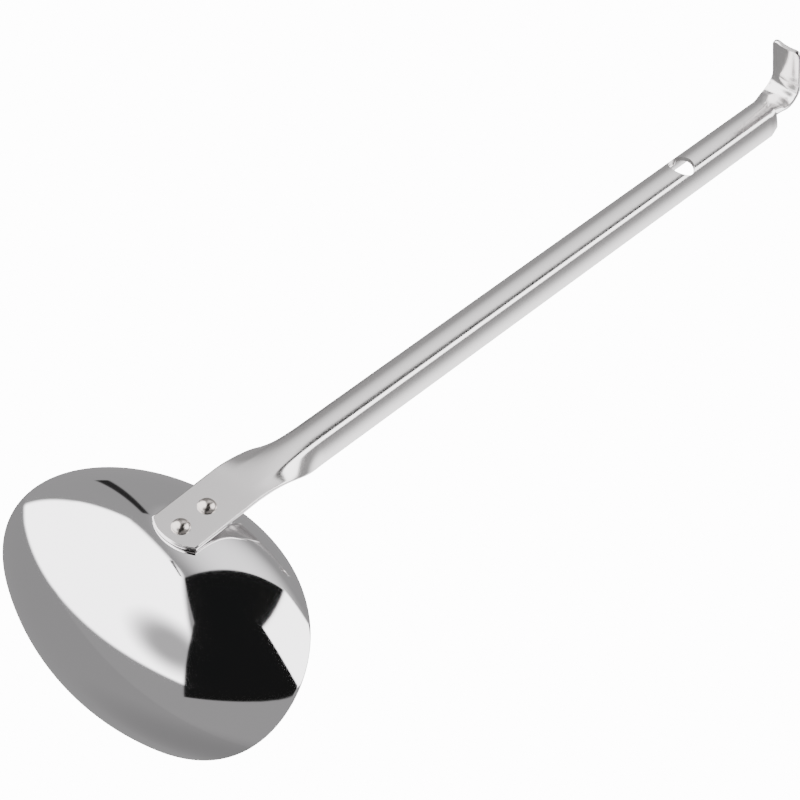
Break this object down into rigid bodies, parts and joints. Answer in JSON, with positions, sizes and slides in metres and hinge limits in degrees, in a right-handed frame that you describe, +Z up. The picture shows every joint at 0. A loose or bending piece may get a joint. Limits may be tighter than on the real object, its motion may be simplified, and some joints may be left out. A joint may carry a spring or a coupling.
{
  "type": "ladle",
  "caption": "Polished stainless-steel ladle with an oval two-lipped bowl and a riveted channel handle that ends in a hook.",
  "frame": {"origin": "centre of the hanging hole in the handle, halfway through its metal", "axes": "+Z up, the way the bowl opens; +Y from the bowl towards the hook; X along the bowl's long axis, lip to lip"},
  "size_m": [0.1046, 0.2906, 0.2164],
  "materials": {
    "bowl_steel": "polished",
    "handle_steel": "polished",
    "rivet_steel": "polished"
  },
  "bodies": {
    "root": {"bowl": "bowl_steel", "handle": "handle_steel", "rivet_upper": "rivet_steel", "rivet_lower": "rivet_steel"}
  },
  "joints": []
}
